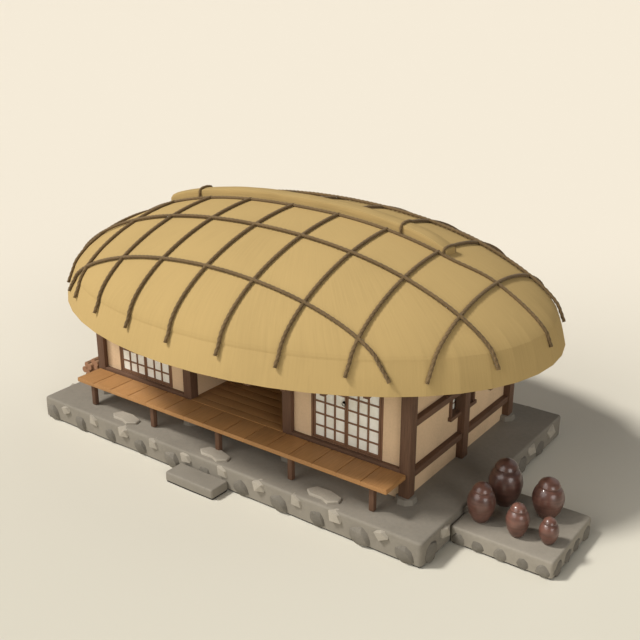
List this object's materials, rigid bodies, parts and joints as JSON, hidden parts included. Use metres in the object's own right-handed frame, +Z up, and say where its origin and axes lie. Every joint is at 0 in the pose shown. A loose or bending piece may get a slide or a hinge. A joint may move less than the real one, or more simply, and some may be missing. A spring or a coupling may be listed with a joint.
{
  "type": "thatched farmhouse",
  "caption": "Low farmhouse with a domed straw roof tied down by ropes, an open hall between two rooms with paper doors, a veranda and a terrace of storage jars.",
  "frame": {"origin": "centre of the stone podium's underside, on the ground", "axes": "+X right along the front as seen from the front, -Y the way the front faces, +Z up"},
  "size_m": [11.488, 7.44, 4.7771],
  "materials": {
    "stone": "grey-brown field stone and rubble, matt",
    "plaster": "ochre clay plaster, matt",
    "timber": "dark aged pine, unpolished",
    "floor_board": "orange-brown boards, worn smooth",
    "thatch": "golden rice straw, laid downwards",
    "straw_rope": "dark twisted straw rope",
    "jar_glaze": "brown glazed earthenware, glossy",
    "paper": "mulberry paper, pale and matt",
    "door_leaf": "pale paper behind a brown wooden lattice",
    "iron": "forged iron, nearly black",
    "firewood": "split and sawn logs with bark"
  },
  "bodies": {
    "house": {"eaves": "timber", "firewood": "firewood", "front_frame": "timber", "front_wall_left": "plaster", "front_wall_right": "plaster", "hall_floor": "floor_board", "jar_1": "jar_glaze", "jar_1_lid": "jar_glaze", "jar_2": "jar_glaze", "jar_2_lid": "jar_glaze", "jar_3": "jar_glaze", "jar_3_lid": "jar_glaze", "jar_4": "jar_glaze", "jar_4_lid": "jar_glaze", "jar_5": "jar_glaze", "jar_5_lid": "jar_glaze", "jar_terrace": "stone", "left_door_frame": "timber", "left_end_frame": "timber", "left_end_wall": "plaster", "left_partition": "plaster", "left_room_floor": "plaster", "left_window_paper": "paper", "podium": "stone", "rear_frame": "timber", "rear_wall": "plaster", "ridge_cap": "thatch", "ridge_frame": "timber", "right_door_frame": "timber", "right_end_frame": "timber", "right_end_wall": "plaster", "right_partition": "plaster", "right_room_floor": "plaster", "right_window_paper": "paper", "rope_net": "straw_rope", "step_stone": "stone", "thatch_roof": "thatch", "veranda_deck": "floor_board", "veranda_frame": "timber"},
    "left_door_west": {"left_door_west": "door_leaf", "left_ring_pull": "iron"},
    "left_door_east": {"left_door_east": "door_leaf"},
    "right_door_west": {"right_door_west": "door_leaf", "right_ring_pull": "iron"},
    "right_door_east": {"right_door_east": "door_leaf"}
  },
  "joints": [
    {"name": "left_door_west_hinge", "type": "hinge", "parent": "house", "child": "left_door_west", "pos_m": [-3.0985, -1.7875, 1.083], "axis": [0, 0, -1], "range_deg": [0, 95]},
    {"name": "left_door_east_hinge", "type": "hinge", "parent": "house", "child": "left_door_east", "pos_m": [-1.7595, -1.7875, 1.083], "axis": [0, 0, 1], "range_deg": [0, 95]},
    {"name": "right_door_west_hinge", "type": "hinge", "parent": "house", "child": "right_door_west", "pos_m": [1.7595, -1.7875, 1.083], "axis": [0, 0, -1], "range_deg": [0, 95]},
    {"name": "right_door_east_hinge", "type": "hinge", "parent": "house", "child": "right_door_east", "pos_m": [3.0985, -1.7875, 1.083], "axis": [0, 0, 1], "range_deg": [0, 95]}
  ]
}
